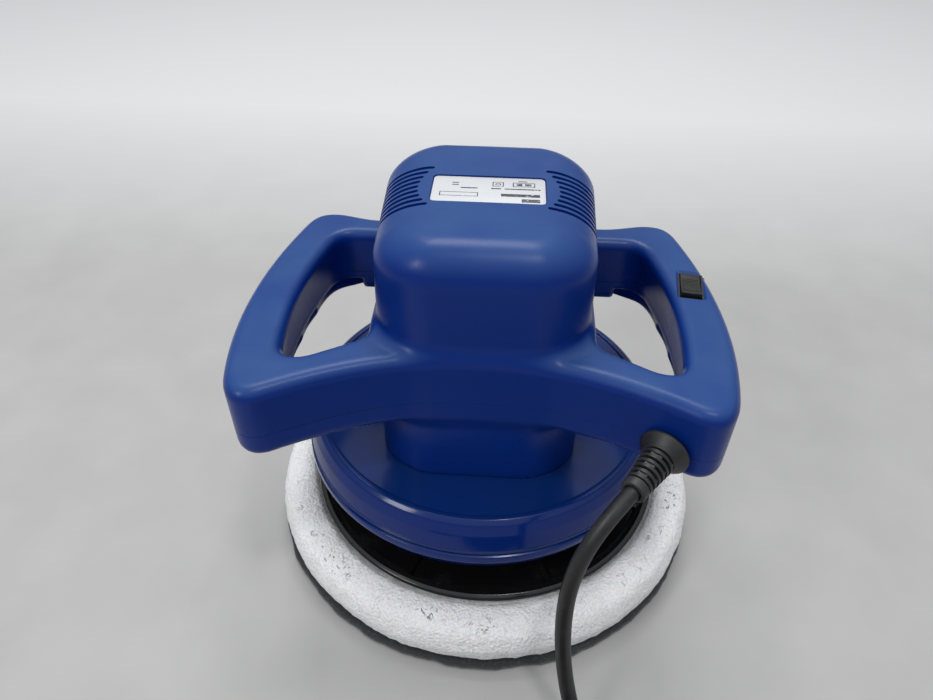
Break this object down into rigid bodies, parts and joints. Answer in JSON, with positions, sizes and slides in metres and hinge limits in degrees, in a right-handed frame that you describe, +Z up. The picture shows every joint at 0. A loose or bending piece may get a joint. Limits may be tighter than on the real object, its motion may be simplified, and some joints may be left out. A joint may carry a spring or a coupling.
{
  "type": "orbital car polisher",
  "caption": "Two-handed mains orbital polisher: upright motor tower between two D handles, round foam pad on an eccentric hub, mains lead with plug.",
  "frame": {"origin": "where the motor's axis meets the floor under the pad", "axes": "+Z up along the motor's axis, +X towards the handle with the switch, -Y towards the handle bars that carry the cord"},
  "size_m": [0.24, 0.395, 0.2004],
  "materials": {
    "shell_blue": "satin moulded",
    "shroud_blue": "glossy moulded",
    "label": "printed, satin",
    "screw_steel": "plated",
    "rubber_black": "matt",
    "cord_black": "matt",
    "plastic_black": "fine grain",
    "zinc": "die cast",
    "can_steel": "zinc plated",
    "magnet": "ferrite",
    "carbon": "matt",
    "bearing_steel": "ground",
    "board": "solder mask",
    "capacitor": "glossy",
    "iron": "laminated",
    "copper": "enamelled",
    "fan": "moulded",
    "plate_black": "glossy",
    "foam": "open-cell foam",
    "hook_felt": "felted",
    "tie_black": "woven strap",
    "brass": "bright"
  },
  "bodies": {
    "housing": {"upper_housing": "shell_blue", "lower_housing": "shell_blue", "base_shroud": "shroud_blue", "rating_label": "label", "housing_screw_1": "screw_steel", "housing_screw_2": "screw_steel", "housing_screw_3": "screw_steel", "housing_screw_4": "screw_steel", "housing_screw_5": "screw_steel", "housing_screw_6": "screw_steel", "shroud_screw_1": "screw_steel", "shroud_screw_2": "screw_steel", "shroud_screw_3": "screw_steel", "shroud_screw_4": "screw_steel", "strain_relief": "rubber_black", "inner_cord": "cord_black", "cord_clamp": "plastic_black", "clamp_screw": "screw_steel", "switch_body": "plastic_black", "motor_bracket": "zinc", "motor_can": "can_steel", "magnet_right": "magnet", "magnet_left": "magnet", "brush_card": "plastic_black", "brush_right": "carbon", "brush_left": "carbon", "lower_bearing": "bearing_steel", "top_bearing": "bearing_steel", "rectifier_board": "board", "capacitor": "capacitor", "bracket_screw_1": "screw_steel", "bracket_screw_2": "screw_steel", "bracket_screw_3": "screw_steel", "bracket_screw_4": "screw_steel", "cord_lead": "cord_black", "cord_coil": "cord_black", "cord_tail": "cord_black", "cord_tie": "tie_black", "plug_body": "plastic_black", "plug_pin_earth": "brass", "plug_pin_live": "brass", "plug_pin_neutral": "brass"},
    "rotor": {"motor_shaft": "bearing_steel", "armature_core": "iron", "winding_lower": "copper", "winding_upper": "copper", "commutator": "copper", "cooling_fan": "fan", "eccentric_hub": "zinc", "counterweight": "iron", "pad_bearing": "bearing_steel"},
    "pad": {"pad_spindle": "bearing_steel", "backing_plate": "plate_black", "foam_pad": "foam", "hook_layer": "hook_felt", "pad_bolt": "screw_steel", "pad_washer": "screw_steel"},
    "switch_rocker": {"rocker": "plastic_black"}
  },
  "joints": [
    {"name": "motor_spin", "type": "hinge", "parent": "housing", "child": "rotor", "pos_m": [0, 0, 0.1], "axis": [0, 0, 1], "continuous": true},
    {"name": "pad_spin", "type": "hinge", "parent": "rotor", "child": "pad", "pos_m": [0.003, 0, 0.049], "axis": [0, 0, 1], "continuous": true},
    {"name": "switch_rock", "type": "hinge", "parent": "housing", "child": "switch_rocker", "pos_m": [0.0988, 0.0015, 0.1475], "axis": [0.9903, -0.1392, 0], "range_deg": [0, 12]}
  ]
}
